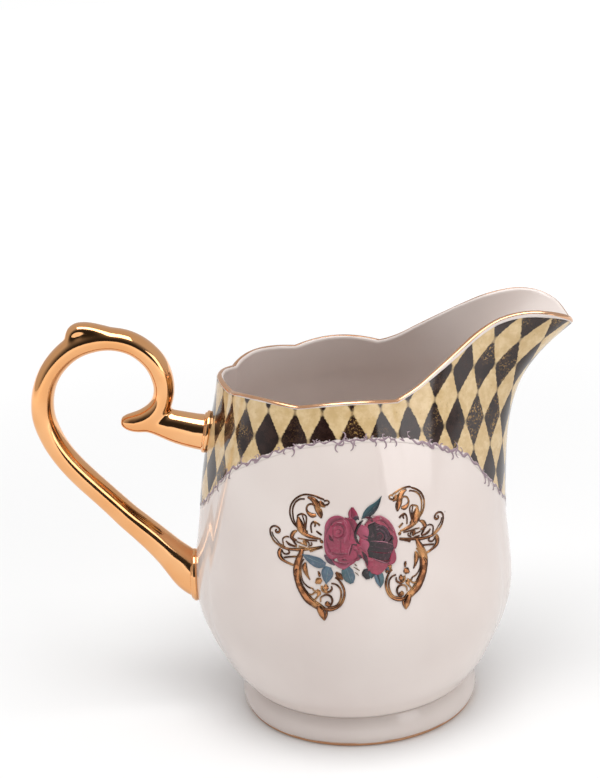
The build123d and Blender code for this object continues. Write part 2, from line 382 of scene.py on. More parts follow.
underside = [(0, 4.9), (7, 4.8), (14, 4.6), (20, 4.4)] + arc((23.5, BOSS_BOTTOM + 1.9), 1.9, -90, 0, 5)
underside += [(BOSS_RADIUS, 7.2), (26.5, 7.45), (28.3, 7.48)]
outside = [lerp(FOOT_TOP, FLARE_START, (i / 24) ** 1.2) for i in range(25)]
outside += [lerp(FLARE_START, WALL_TOP, crowded(i / 56)) for i in range(1, 57)]
LIP_STEPS = 8
inside = [lerp(WALL_TOP, BELLY, 1 - crowded(1 - i / 44)) for i in range(1, 45)]
inside += [lerp(BELLY, FLOOR, sin(pi / 2 * i / 16)) for i in range(1, 17)]
floor = [0.75, 0.5, 0.25, 0]


def wall_thickness(z):
    return lerp(BODY_WALL, 2 * LIP_HALF, (z - BELLY) / (WALL_TOP - BELLY))


def lip_roll(turn, angle, lift=0.0):
    """The rounded top of the lip, from 0 outside to 180 inside."""
    point, out, up = wall_frame(turn, WALL_TOP)
    a = radians(angle)
    return point - out * LIP_HALF + (out * cos(a) + up * sin(a)) * (LIP_HALF + lift)


def inner_point(turn, z):
    if z >= BELLY:
        return on_wall(turn, z, -wall_thickness(z))
    u = (z - FLOOR) / (BELLY - FLOOR)
    share = lerp(FLOOR_SHARE, 1, math.sqrt(max(0.0, 1 - (1 - u) ** 2.6)))
    x, y = round_point(turn, z)
    scale = share * (math.hypot(x, y) - BODY_WALL) / math.hypot(x, y)
    return Vector((x * scale, y * scale, z))


def bowl_point(row, turn):
    if row < len(underside):
        return on_circle(underside, row, turn)
    row -= len(underside)
    if row < len(outside):
        return wall_point(turn, outside[row])
    row -= len(outside)
    if row < LIP_STEPS - 1:
        return lip_roll(turn, 180 * (row + 1) / LIP_STEPS)
    row -= LIP_STEPS - 1
    if row == 0:
        return lip_roll(turn, 180)
    row -= 1
    if row < len(inside):
        return inner_point(turn, inside[row])
    edge = inner_point(turn, FLOOR)
    share = floor[row - len(inside)]
    return Vector((edge.x * share, edge.y * share, FLOOR - FLOOR_DISH * (1 - share)))


bowl_rows = len(underside) + len(outside) + LIP_STEPS + len(inside) + len(floor)
bowl = turned(bowl_rows, bowl_point)
finish_piece("bowl", bowl, PORCELAIN, ["jug_body"])


# ---- gilded rim ----
GILT_LIFT = 0.05             # gold and transfers lie this far over the glaze
FILM = 0.04                  # their thickness
RIM_START, RIM_END = 14, 112  # degrees over the rounded lip, from outside to inside
RIM_ROWS = 13


def rim_point(row, turn):
    """A brushed gold line over the lip; both its edges wander a little."""
    wander = 60 * (0.09 * sin(9 * turn + 1) + 0.06 * sin(23 * turn))
    return lip_roll(turn, lerp(RIM_START - wander, RIM_END + wander, row / (RIM_ROWS - 1)), GILT_LIFT)


finish_piece("gilded_rim", turned(RIM_ROWS, rim_point), LINE_GOLD, ["rim_gilding"], wall=FILM)


# ---- foot ----
FOOT_OUTER = 29.3
FOOT_INNER = 25.5
FOOT_CORNER = 0.8
FOOT_INNER_ROUND = 1.2
foot_side = [
    (29.3, 0.8), (29.75, 1.5), (30.02, 2.4), (30.06, 3.3), (29.9, 4.4), (29.55, 5.6), (29.1, 6.6), (28.75, 7.2),
]
foot_profile = (
    arc((FOOT_OUTER - FOOT_CORNER, FOOT_CORNER), FOOT_CORNER, -90, 0, 6)[:-1]
    + foot_side + [(28.6, 7.42), (26, 7.42), (FOOT_INNER, 7.0), (FOOT_INNER, 4.0)]
    + arc((FOOT_INNER + FOOT_INNER_ROUND, FOOT_INNER_ROUND), FOOT_INNER_ROUND, 180, 270, 6)
)
finish_piece("foot", ring_piece(foot_profile), PORCELAIN, ["foot_ring"])


def foot_line_point(row, turn):
    wander = 0.12 * sin(7 * turn) + 0.08 * sin(17 * turn + 2)
    outline = arc((FOOT_OUTER - FOOT_CORNER, FOOT_CORNER), FOOT_CORNER + GILT_LIFT, -55, 0, 6)
    outline += [(29.42, 1.0 + wander * 0.4), (29.6, 1.2 + wander)]
    return on_circle(outline, row, turn)


finish_piece("gilded_foot_line", turned(9, foot_line_point), LINE_GOLD, ["foot_gilding"], wall=FILM)


# ---- handle ----
STRAP = [                    # centre line x, z, half thickness seen from the side, half depth
    (-36.8, 34.4, 6.2, 5.0), (-39.3, 35.2, 5.8, 4.8), (-41.5, 36.7, 5.2, 4.6), (-43.5, 38.9, 4.6, 4.3),
    (-46.0, 41.8, 3.95, 4.1), (-48.9, 45.1, 3.6, 3.9), (-52.2, 48.6, 3.35, 3.7), (-55.7, 52.2, 3.15, 3.7),
        (-59.0, 56.0, 3.0, 3.7),
    (-62.2, 59.6, 2.95, 3.7), (-65.3, 63.1, 2.95, 3.7), (-68.1, 66.6, 2.9, 3.7), (-70.4, 70.1, 2.85, 3.7),
    (-72.3, 74.0, 2.85, 3.7), (-73.7, 78.8, 2.85, 3.7), (-73.75, 83.0, 2.8, 3.7), (-72.8, 87.2, 2.75, 3.7),
    (-70.9, 91.0, 2.75, 3.7), (-68.1, 94.2, 2.8, 3.7), (-64.6, 96.7, 2.9, 3.7), (-60.6, 98.0, 2.9, 3.7),
    (-56.4, 98.3, 2.8, 3.7), (-52.6, 97.6, 2.8, 3.7), (-49.5, 96.1, 2.75, 3.7), (-46.9, 93.8, 2.75, 3.7),
    (-45.0, 91.1, 2.75, 3.7), (-44.0, 88.1, 2.7, 3.6), (-43.7, 84.9, 2.6, 3.5), (-44.5, 81.6, 2.6, 3.4),
    (-46.3, 79.0, 2.8, 3.3), (-48.9, 77.2, 3.0, 3.1), (-51.5, 76.8, 2.6, 2.8), (-53.7, 77.0, 2.0, 2.2),
    (-55.1, 77.3, 1.0, 1.2),
]
STEM = [
    (-30.5, 72.4, 4.7, 4.5), (-34.4, 72.9, 4.55, 4.3), (-37.4, 73.6, 4.4, 4.1), (-40.6, 74.6, 4.2, 3.9),
    (-43.8, 75.7, 3.8, 3.6), (-46.6, 76.2, 3.0, 3.1), (-49.5, 76.3, 2.0, 2.2),
]
SPUR = [
    (-67.0, 94.8, 1.6, 3.0), (-65.5, 97.6, 1.6, 2.9), (-64.1, 100.5, 1.9, 2.8), (-61.4, 101.0, 1.75, 2.9),
    (-58.0, 100.1, 1.75, 3.1), (-54.4, 98.8, 1.7, 3.3), (-51.0, 97.0, 1.6, 3.4),
]
RING_STEPS = 24
SQUARENESS = 2.2             # 2 is an ellipse, more is fuller at the corners
WELD_STEP = 0.45             # the welded handle's mesh
RUB_PASSES = 14


def rod(bm, stations, lengths):
    """Extrudes an oval ring of vertices along the smooth line through the stations, and caps both ends."""
    line = evenly(stations, lengths)
    ring = bmesh.ops.create_circle(bm, cap_ends=False, radius=1, segments=RING_STEPS)["verts"]
    ring.sort(key=lambda vert: math.atan2(vert.co.y, vert.co.x))
    edges = sorted({edge for vert in ring for edge in vert.link_edges}, key=lambda edge: edge.index)
    ends = [list(ring)]
    for i, (x, z, half, depth) in enumerate(line):
        before, after = line[max(i - 1, 0)], line[min(i + 1, lengths - 1)]
        way = Vector((after[0] - before[0], 0, after[1] - before[1])).normalized()
        across = Vector((0, 1, 0))
        side = way.cross(across)
        if i:
            made = bmesh.ops.extrude_edge_only(bm, edges=edges)["geom"]
            new = [item for item in made if isinstance(item, bmesh.types.BMVert)]
            found = {}
            for vert in new:
                partner = next(e.other_vert(vert) for e in vert.link_edges if e.other_vert(vert) in ring)
                found[ring.index(partner)] = vert
            ring = [found[k] for k in range(RING_STEPS)]
            made_edges = [item for item in made if isinstance(item, bmesh.types.BMEdge)]
            edges = [edge for edge in made_edges if all(vert in new for vert in edge.verts)]
            ends.append(list(ring))
        for k, vert in enumerate(ring):
            a = 2 * pi * k / RING_STEPS
            c, s = cos(a), sin(a)
            power = 2 / SQUARENESS
            flat_c = math.copysign(abs(c) ** power, c)
            flat_s = math.copysign(abs(s) ** power, s)
            vert.co = Vector((x, 0, z)) + across * depth * flat_c + side * half * flat_s
    bm.faces.new(ends[0])
    bm.faces.new(ends[-1])


def handle():
    """Three rods welded into one casting, with the joins rubbed smooth."""
    bm = bmesh.new()
    rod(bm, STRAP, 96)
    rod(bm, STEM, 24)
    rod(bm, SPUR, 24)
    bmesh.ops.recalc_face_normals(bm, faces=bm.faces)
    bmesh.ops.scale(bm, vec=(MM, MM, MM), verts=bm.verts)
    blank = as_object("handle_blank", bm)
    weld = blank.modifiers.new("Remesh", "REMESH")
    weld.mode = "VOXEL"
    weld.voxel_size = WELD_STEP * MM
    rub = blank.modifiers.new("Smooth", "SMOOTH")
    rub.factor = 0.5
    rub.iterations = RUB_PASSES
    shaped = bpy.data.meshes.new_from_object(blank.evaluated_get(bpy.context.evaluated_depsgraph_get()))
    bpy.data.objects.remove(blank)
    bm = bmesh.new()
    bm.from_mesh(shaped)
    bmesh.ops.scale(bm, vec=(1 / MM, 1 / MM, 1 / MM), verts=bm.verts)
    return bm


finish_piece("handle_strap", handle(), HANDLE_GOLD, ["handle"])


# ---- handle collars ----
COLLAR = [                   # outwards past the joint's oval, and off the wall: a bead and a small step
    (0.35, -0.6), (0.52, 0.0), (0.62, 0.35), (0.62, 0.7), (0.5, 0.98), (0.28, 1.14), (0.08, 1.2), (0.03, 1.36),
    (-0.12, 1.52), (-0.4, 1.58), (-1.2, 1.58),
]
COLLAR_STEPS = 48


def collar(height, half_height, half_depth):
    """A gilt collar that lies along the wall round one of the handle's joints."""
    def place(row, angle):
        past, lift = COLLAR[row]
        across = (half_depth + past) * cos(angle)
        z = height + (half_height + past) * sin(angle)
        return on_wall(pi - across / crest_radius(height), z, lift)

    return turned(len(COLLAR), place, COLLAR_STEPS)


finish_piece("upper_collar", collar(73.0, 4.55, 4.3), HANDLE_GOLD, ["upper_handle_collar"], wall=0.3)
finish_piece("lower_collar", collar(35.2, 6.1, 5.0), HANDLE_GOLD, ["lower_handle_collar"], wall=0.3)


# ---- diamond band ----
ARCH_CENTRE = 33.1           # the band's lower edge is a circle seen from the side
ARCH_RADIUS = 46.5
ARCH_SHOULDER = 27.5         # farther out than this the edge falls faster
ARCH_FALL = 0.6              # by this much for each millimetre
ARCH_REACH = 41              # and past this it falls no more
FRINGE_ROOM = 1.0            # plain transfer below that edge
BAND_ROWS = 44
SPOUT_MARGIN = 0.8           # white left between the diamonds and the lip along the spout
SUNK = -0.015                # the transfer's lower edge lies this far in the glaze


def arch_height(x):
    """The edge falls faster past the arch's shoulders, under the spout and the handle."""
    x = min(abs(x), ARCH_REACH)
    return ARCH_CENTRE + math.sqrt(ARCH_RADIUS**2 - x**2) - ARCH_FALL * max(0.0, x - ARCH_SHOULDER)


def band_top(turn):
    """The transfer stops just under the gilding, and lower along the spout, where white shows."""
    on_spout = ease((SPOUT_EDGE - abs(turn)) / radians(25)) * ease((abs(turn) - radians(12)) / radians(12))
    return below_lip(turn, GILT_LIFT + SPOUT_MARGIN * on_spout)


def under_arch(turn, room=0.0):
    """The z of wall_point that lies that far under the arch."""
    low, high = FLARE_START, WALL_TOP
    for _ in range(24):
        middle = (low + high) / 2
        point = wall_point(turn, middle)
        low, high = (low, middle) if point.z > arch_height(point.x) - room else (middle, high)
    return low


DIAMOND_HALF = 6.2           # half a diamond's height
DIAMOND_TURN = 6.25          # half its width, in degrees round the bowl
LATTICE_TOP = 85
HANDLE_TURN = 151            # behind the handle the diamonds are a little narrower


def lattice(turn, z):
    """Where a point lies in the diamond pattern: across, down, in half diamonds. turn is wall_point's, z the true
    height. On the spout, where t rises to 1 at its middle, the pattern stretches with the drawn-out wall."""
    edge = math.degrees(SPOUT_EDGE)
    a = abs(math.degrees(turn))
    t = clamp((edge - a) / edge)
    high = z - LATTICE_TOP
    down = 0.05 - high / DIAMOND_HALF + t * (-0.06 - 0.71 * t - 0.0073 * high - 0.001 * high**2)
    if a > HANDLE_TURN:
        across = -15 - (a - HANDLE_TURN) * 5 / 29
    elif a > edge:
        across = -5 + (88.6 - a) / DIAMOND_TURN
    else:
        across = -1.62 + 14.62 * t + t * (1 - t) * (-0.16 - 4.59 * t + high * (0.295 * t - 0.355))
    return across, down


def diamond_band():
    """The transfer sinks into the glaze at its lower edge."""
    bottom, top = {}, {}
    rows = {}

    def place(row, turn):
        if turn not in bottom:
            bottom[turn], top[turn] = under_arch(turn, FRINGE_ROOM), band_top(turn)
        share = crowded(row / (BAND_ROWS - 1))
        point = on_wall(turn, lerp(bottom[turn], top[turn], share), lerp(SUNK, GILT_LIFT, ease(row / 3)))
        rows[tuple(round(c, 3) for c in point)] = turn
        return point

    bm = turned(BAND_ROWS, place)
    pattern = bm.verts.layers.float_vector.new("lattice")
    for vert in bm.verts:
        x, _, z = vert.co
        vert[pattern] = (*lattice(rows[tuple(round(c, 3) for c in vert.co)], z), z - arch_height(x))
    return bm


def band_print():
    finish = Finish("printed_diamonds", **GLAZE)
    place = finish.add("ShaderNodeAttribute", attribute_name="lattice").outputs["Vector"]
    parts = finish.add("ShaderNodeSeparateXYZ", {"Vector": place})
    across, down, edge = (parts.outputs[k] for k in range(3))
    wobble = finish.sum("MULTIPLY", finish.sum("SUBTRACT", finish.grain(1600.0, detail=2), 0.5), 0.10)
    first = finish.sum("ADD", finish.sum("MULTIPLY", finish.sum("ADD", across, down), 0.5), wobble)
    second = finish.sum("SUBTRACT", finish.sum("MULTIPLY", finish.sum("SUBTRACT", across, down), 0.5), wobble)
    waves = [finish.sum("COSINE", finish.sum("MULTIPLY", value, pi)) for value in (first, second)]
    pale = finish.spread(finish.sum("MULTIPLY", *waves), -0.05, 0.05)
    cells = [finish.sum("ROUND", value) for value in (first, second)]
    cell = finish.add("ShaderNodeCombineXYZ", {0: cells[0], 1: cells[1]}).outputs[0]
    chance = finish.add("ShaderNodeTexWhiteNoise", {"Vector": cell}, noise_dimensions="3D").outputs["Value"]

    mottle = finish.grain(420.0, detail=5, roughness=0.65)
    cream = finish.mix(finish.spread(mottle, 0.35, 0.7), rgb(202, 172, 124), rgb(220, 194, 150))
    flecks = finish.spread(finish.grain(1500.0, detail=4, roughness=0.7), 0.60, 0.72)
    cream = finish.mix(finish.sum("MULTIPLY", flecks, 0.45), cream, rgb(150, 116, 80))

    speckle = finish.spread(finish.grain(1900.0, detail=4, roughness=0.75), 0.50, 0.64)
    patches = finish.spread(finish.grain(160.0, detail=2), 0.42, 0.58)
    amount = finish.sum("MULTIPLY", speckle, finish.sum("MULTIPLY", patches, finish.spread(chance, 0.25, 0.8)))
    dark = finish.mix(finish.spread(mottle, 0.3, 0.7), rgb(28, 15, 13), rgb(50, 32, 27))
    dark = finish.mix(amount, dark, rgb(168, 132, 78))
    printed = finish.mix(pale, dark, cream)

    tear = finish.sum("SUBTRACT", finish.grain(700.0, detail=3), 0.5)
    ragged = finish.sum("ADD", edge, finish.sum("MULTIPLY", tear, 1.6))
    shown = finish.spread(ragged, -0.12, 0.12)
    finish.colour(finish.mix(shown, porcelain_colour(finish), printed))
    ripple = finish.grain(60.0, detail=1)
    finish.relief(finish.sum("ADD", ripple, finish.sum("MULTIPLY", mottle, 0.12)), 0.05, 0.6)
    finish.set("Roughness", finish.spread(mottle, 0.3, 0.7, 0.08, 0.16))
    return finish.material


finish_piece("diamond_band", diamond_band(), band_print(), ["diamond_band_transfer"], wall=FILM)


# ---- rose and scroll prints ----
# Each stroke is a patch along a line: half widths in millimetres along it, and points of (across the flank from its
# middle, height). The scroll work is drawn once and mirrored.
ROSE, ROSE_LIGHT, ROSE_SHADE = rgb(166, 66, 95), rgb(188, 98, 124), rgb(124, 42, 68)
WINE, WINE_BLACK, CRIMSON = rgb(68, 16, 38), rgb(24, 5, 13), rgb(124, 26, 52)
CORAL, PALE_EDGE, MAUVE = rgb(174, 78, 100), rgb(202, 140, 156), rgb(104, 70, 88)
TEAL, BLUE_LEAF, LEAF_SHADE = rgb(82, 116, 122), rgb(98, 120, 136), rgb(40, 54, 62)
MINT, OLIVE = rgb(136, 160, 160), rgb(122, 98, 58)
DARK_LUSTRE, COPPER = rgb(84, 60, 48), rgb(184, 124, 84)
LILAC, LILAC_GREY = rgb(158, 136, 148), rgb(184, 166, 170)
SCROLL = [
    ((0.08, 0.09, 0.09), [(-14.03, 59.76), (-14.87, 60.72), (-15.39, 62.22), (-15.35, 63.76), (-14.68, 65.27),
        (-13.35, 66.51), (-11.63, 67.29), (-9.88, 67.32), (-8.4, 67.01), (-7.27, 66.53)]),
    ((0.06, 0.08, 0.07), [(-13.8, 59.88), (-14.51, 61.06), (-14.75, 62.48), (-14.65, 63.93), (-14, 65.23),
        (-12.81, 66.14), (-11.47, 66.34)]),
    ((0.1, 0.41, 0.53, 0.35, 0.06), [(-10.79, 66.8), (-9.52, 66.35), (-8.69, 65.36), (-8.49, 64.13), (-8.24, 63.11),
        (-7.76, 62.18)]),
    ((0.12, 0.1, 0.09, 0.09, 0.14, 0.27, 0.35, 0.16), [(-8.99, 64.63), (-9.39, 65.13), (-10.13, 65.29),
        (-10.92, 64.84), (-11.2, 64), (-10.81, 63.2), (-9.98, 62.73), (-8.9, 62.88)]),
    ((0.16, 0.41, 0.14), [(-7.83, 66.11), (-7.42, 65.3), (-6.6, 64.88)]),
    ((0.09, 0.08, 0.09), [(-6.88, 66.03), (-6.24, 66.24), (-5.73, 65.94), (-5.98, 65.38), (-6.63, 65.17)]),
    ((0.08, 0.12, 0.06), [(-8.41, 66.91), (-7.58, 66.67), (-6.75, 66.4)]),
    ((0.1, 0.13, 0.06), [(-7.73, 64.36), (-7.57, 63.13), (-7.78, 62.18)]),
    ((0.18, 0.62, 0.68, 0.25), [(-13.42, 62.09), (-13.15, 60.56), (-12.87, 59.34), (-12.35, 58.23)]),
    ((0.08, 0.08, 0.07), [(-13.66, 61.86), (-13.4, 62.5), (-12.37, 62.89), (-11.51, 62.54), (-11.35, 61.72),
        (-11.53, 60.68), (-11.77, 59.42)]),
    ((0.05, 0.06, 0.05), [(-12.38, 62.79), (-12.2, 62.08), (-11.94, 61.06), (-11.92, 59.82)]),
    ((0.12, 0.37, 0.12), [(-12.2, 59.49), (-11.76, 58.8), (-11.33, 58.1)]),
    ((0.31, 0.29, 0.21, 0.08), [(-12.66, 58.63), (-11.38, 58.03), (-9.89, 57.66), (-8.16, 57.39)]),
    ((0.07, 0.09, 0.12), [(-10.25, 58.68), (-10.39, 59.92), (-10.22, 60.75), (-9.65, 61.3), (-8.81, 61.03),
        (-8.17, 60.51)]),
    ((0.12, 0.1, 0.06), [(-9.65, 61.24), (-9.26, 60.76), (-9.51, 60.13)]),
    ((0.08, 0.12, 0.1), [(-9.15, 59.19), (-8.54, 58.76), (-7.89, 58.32)]),
    ((0.14, 0.23, 0.1), [(-8.26, 57.2), (-8.03, 56.86), (-7.8, 56.49)]),
    ((0.06, 0.14, 0.1, 0.08, 0.08, 0.09, 0.1, 0.12, 0.16, 0.18, 0.23, 0.21, 0.16, 0.12, 0.08), [(-18.9, 58.76),
        (-19.3, 58.63), (-19.23, 58.18), (-18.61, 58.14), (-18.19, 58.64), (-18.47, 59.19), (-19.16, 59.52),
            (-19.98, 59.38), (-20.6, 58.82), (-20.76, 57.97), (-20.52, 57.06), (-19.77, 55.91), (-18.15, 54.9),
            (-16.66, 54.51),
        (-14.72, 54.47), (-12.69, 54.69), (-10.05, 55.19), (-7.85, 55.76)]),
    ((0.05, 0.05, 0.05), [(-20.3, 58.13), (-19.93, 57.14), (-19.14, 56.3), (-18.35, 55.46), (-17.1, 54.88)]),
    ((0.06, 0.06, 0.06), [(-17.41, 54.69), (-17.61, 55.97), (-17.56, 56.8), (-16.71, 57.32), (-15.99, 57.27)]),
    ((0.06, 0.16, 0.08), [(-16.84, 56.3), (-16.12, 55.61), (-14.78, 55.18)]),
    ((0.05, 0.1, 0.08), [(-16.34, 55.9), (-15.34, 55.37), (-14.18, 55.17)]),
    ((0.08, 0.25, 0.29, 0.21, 0.08), [(-13.89, 58.88), (-14.79, 58.45), (-15.31, 57.56), (-15.28, 57.01),
        (-14.08, 56.58)]),
    ((0.08, 0.13, 0.06), [(-15.34, 57.04), (-14.83, 56.22), (-14.16, 55.38)]),
    ((0.05, 0.07, 0.05), [(-13.86, 57.18), (-12.54, 57.08), (-11.01, 56.97), (-9.04, 56.95)]),
    ((0.05, 0.07, 0.05), [(-14.14, 56.32), (-12.83, 56.01), (-11.71, 55.63)]),
    ((0.1, 0.27, 0.1), [(-12.51, 56.77), (-12.07, 56.24), (-11.67, 55.57)]),
    ((0.06, 0.08, 0.06), [(-12.12, 56.69), (-11.22, 56.54), (-11.04, 55.88)]),
    ((0.05, 0.06, 0.05), [(-10.56, 56.58), (-10.39, 55.96), (-11.33, 55.49)]),
    ((0.07, 0.08, 0.06), [(-13.76, 55.31), (-12.23, 55.12), (-10.95, 54.68), (-10.27, 54.47)]),
    ((0.06, 0.09, 0.08), [(-10.97, 54.34), (-9.64, 54.92), (-7.86, 55.53)]),
    ((0.23, 0.33, 0.31, 0.16, 0.14, 0.12), [(-18.19, 54.4), (-18.66, 53.65), (-18.54, 52.55), (-17.77, 51.76),
        (-16.53, 51.17), (-15.14, 50.74)]),
    ((0.08, 0.09, 0.07), [(-18.08, 54.24), (-17.66, 53.45), (-16.97, 53.22), (-16.14, 53.62), (-16.42, 54.22)]),
    ((0.08, 0.09, 0.08), [(-17.61, 52.37), (-15.97, 52.67), (-14.37, 52.85), (-13.02, 53.07)]),
    ((0.27, 0.45, 0.53, 0.6, 0.6, 0.57, 0.62, 0.7, 0.72, 0.62, 0.57, 0.49), [(-12.92, 54.58), (-13.33, 53.46),
        (-13.97, 52.15), (-14.47, 50.63), (-14.65, 49.14), (-14.52, 47.67), (-14.08, 46.23), (-13.28, 44.81),
            (-12.21, 43.4), (-10.86, 42.42), (-9.42, 41.64), (-8.41, 40.92)]),
    ((0.08, 0.18, 0.06), [(-14.51, 50), (-15.27, 48.66), (-14.75, 48.24)]),
    ((0.06, 0.06, 0.06), [(-12.57, 52.47), (-13.18, 51.59), (-13.5, 50.09), (-13.5, 48.4), (-13.13, 47.16),
        (-12.35, 46.37), (-11.72, 45.99)]),
    ((0.1, 0.41, 0.37, 0.18, 0.04), [(-12.22, 51.76), (-12.52, 50.58), (-12.25, 49.34), (-11.86, 48.52),
        (-11.35, 47.79)]),
    ((0.06, 0.07, 0.06), [(-11.72, 45.99), (-10.87, 45.83), (-10.68, 45.41), (-10, 45.32)]),
    ((0.07, 0.08, 0.08), [(-12.03, 44.58), (-11.17, 44.41), (-10.28, 45.01), (-9.52, 44.88)]),
    ((0.1, 0.35, 0.1), [(-9.81, 45.71), (-9.42, 45.05), (-9.73, 44.14)]),
    ((0.1, 0.08, 0.06), [(-9.69, 44.19), (-10.26, 43.52), (-10.83, 43.02)]),
    ((0.27, 0.53, 0.43, 0.06), [(-9.93, 41.93), (-9.23, 40.68), (-8.8, 39.41), (-8.45, 38.54)]),
    ((0.12, 0.16, 0.06), [(-7.89, 41.15), (-7.92, 40.08), (-8.37, 38.8)]),
    ((0.08, 0.12, 0.14, 0.14, 0.16, 0.17, 0.21, 0.23), [(-5.43, 48.64), (-4.63, 48.1), (-3.85, 46.82), (-3.47, 45.32),
        (-3.78, 43.62), (-4.58, 42.35), (-5.66, 41.55), (-7.14, 41.11), (-8.28, 41.29)]),
    ((0.07, 0.09, 0.1, 0.1, 0.12, 0.16), [(-6.35, 47.26), (-5.32, 47.05), (-4.44, 46.19), (-4.22, 44.91),
        (-4.52, 43.42), (-5.2, 42.36), (-6.27, 41.76), (-7.53, 41.57)]),
    ((0.05, 0.06, 0.09, 0.13, 0.13, 0.1, 0.14), [(-9.09, 42.89), (-9.08, 43.79), (-8.19, 44.46), (-7.31, 44.59),
        (-6.55, 44.06), (-6.37, 43.21), (-6.76, 42.35), (-7.31, 41.87)]),
    ((0.1, 0.47, 0.12), [(-8.09, 42.07), (-7.52, 42.45), (-7.04, 42.09)]),
    ((0.08, 0.1, 0.12, 0.15, 0.16, 0.12), [(-6.38, 46.66), (-6.3, 45.98), (-6.88, 45.34), (-7.73, 45.19),
        (-8.54, 45.68), (-8.64, 46.67)]),
    ((0.12, 0.57, 0.12), [(-8.25, 46.26), (-7.66, 46.28), (-7.03, 46.29)]),
    ((0.08, 0.51, 0.23), [(-10.08, 47.1), (-9.25, 47.73), (-8.55, 48.1)]),
    ((0.12, 0.47, 0.08), [(-5.18, 49.84), (-4.53, 49.12), (-3.66, 48.13)]),
    ((0.08, 0.18, 0.08), [(-9.22, 49.98), (-9.05, 49.31), (-8.98, 48.68)]),
]
LEAVES = [
    (TEAL, LEAF_SHADE, (0.07, 0.78, 1.06, 0.85, 0.42, 0.04), [(1.35, 61.83), (2.56, 62.79), (3.76, 63.67),
        (4.75, 64.48), (5.54, 65.37), (6.3, 66.5)]),
    (LEAF_SHADE, TEAL, (0.03, 0.11, 0.08, 0.03), [(2.09, 62.27), (3.15, 63.16), (4.38, 64.31), (5.48, 65.59)]),
    (BLUE_LEAF, BLUE_LEAF, (0.06, 0.72, 1.13, 1.23, 0.62), [(-13.03, 53.59), (-11.5, 52.86), (-10.03, 52.21),
        (-8.57, 51.75), (-7.43, 51.47)]),
    (MINT, BLUE_LEAF, (0.04, 0.1, 0.08, 0.03), [(-12.56, 53.42), (-11.08, 52.68), (-9.4, 52.14), (-7.84, 51.67)]),
    (BLUE_LEAF, BLUE_LEAF, (0.62, 1.33, 1.33, 0.82, 0.08), [(-6.73, 51.1), (-6.99, 50.21), (-7.23, 49.15),
        (-7.44, 48.09), (-7.57, 47.07)]),
    (MINT, BLUE_LEAF, (0.04, 0.1, 0.04), [(-6.78, 50.85), (-7.23, 49.15), (-7.5, 47.45)]),
    (BLUE_LEAF, TEAL, (0.78, 1.34, 1.34, 1.2, 0.42), [(-2.77, 51.07), (-2.61, 50.2), (-2.32, 49.17), (-1.96, 48.14),
        (-1.67, 47.22)]),
    (MINT, BLUE_LEAF, (0.03, 0.1, 0.04), [(-2.77, 50.93), (-2.31, 49.32), (-1.79, 47.55)]),
    (MAUVE, MAUVE, (0.21, 0.78, 0.78, 0.28), [(-7.58, 53.76), (-6.76, 53.13), (-6.02, 52.42), (-5.22, 51.55)]),
    (LEAF_SHADE, MAUVE, (0.07, 0.42, 0.14), [(-7.18, 53.27), (-6.35, 52.85), (-5.68, 52.13)]),
    (LEAF_SHADE, WINE_BLACK, (0.42, 1.06, 0.92, 0.42), [(1.58, 50.38), (1.74, 49.5), (1.91, 48.75), (2, 47.94)]),
    (LEAF_SHADE, TEAL, (0.35, 0.78, 0.71, 0.21), [(3.45, 50.49), (3.25, 49.64), (2.94, 48.8), (2.72, 48.09)]),
    (TEAL, BLUE_LEAF, (0.21, 0.92, 1.06, 0.78, 0.06), [(4.14, 49.98), (4.43, 48.93), (4.66, 47.88), (4.78, 46.84),
        (4.79, 45.64)]),
    (LEAF_SHADE, LEAF_SHADE, (0.04, 0.18, 0.14, 0.04), [(3.98, 49.71), (4.33, 48.5), (4.62, 47.3), (4.77, 46.26)]),
    (LEAF_SHADE, WINE_BLACK, (0.14, 0.42, 0.35, 0.08), [(3.74, 51.55), (4.64, 51.01), (5.48, 50.4), (6.11, 49.95)]),
    (BLUE_LEAF, LEAF_SHADE, (0.21, 0.56, 0.42, 0.07), [(5.64, 50.67), (6.26, 50.15), (6.75, 49.64), (7.02, 49.28)]),
    (MINT, TEAL, (0.06, 0.35, 0.07), [(4, 50), (4.64, 49.85), (5.27, 49.55)]),
    (OLIVE, OLIVE, (0.04, 0.13, 0.06), [(-1.1, 51), (-0.33, 50.49), (0.31, 50.02)]),
    (OLIVE, OLIVE, (0.04, 0.11, 0.04), [(-0.86, 49.83), (-0.4, 49.39), (0.1, 48.9)]),
    (OLIVE, OLIVE, (0.06, 0.16, 0.06), [(-0.81, 51.71), (-0.54, 51.41), (-0.27, 51.19)]),
]
BUD = [
    (ROSE, ROSE_SHADE, (0.28, 0.85, 1.06, 0.78), [(-0.52, 64.61), (-0.57, 63.81), (-0.49, 62.88), (-0.22, 61.73)]),
    (ROSE_LIGHT, ROSE, (0.04, 0.28, 0.21, 0.04), [(-0.97, 64.19), (-1.24, 63.35), (-1.22, 62.64), (-0.92, 61.84)]),
    (MAUVE, LEAF_SHADE, (0.06, 0.42, 0.49, 0.07), [(-1.06, 61.78), (-0.2, 61.94), (0.39, 62.26), (0.77, 61.66)]),
]
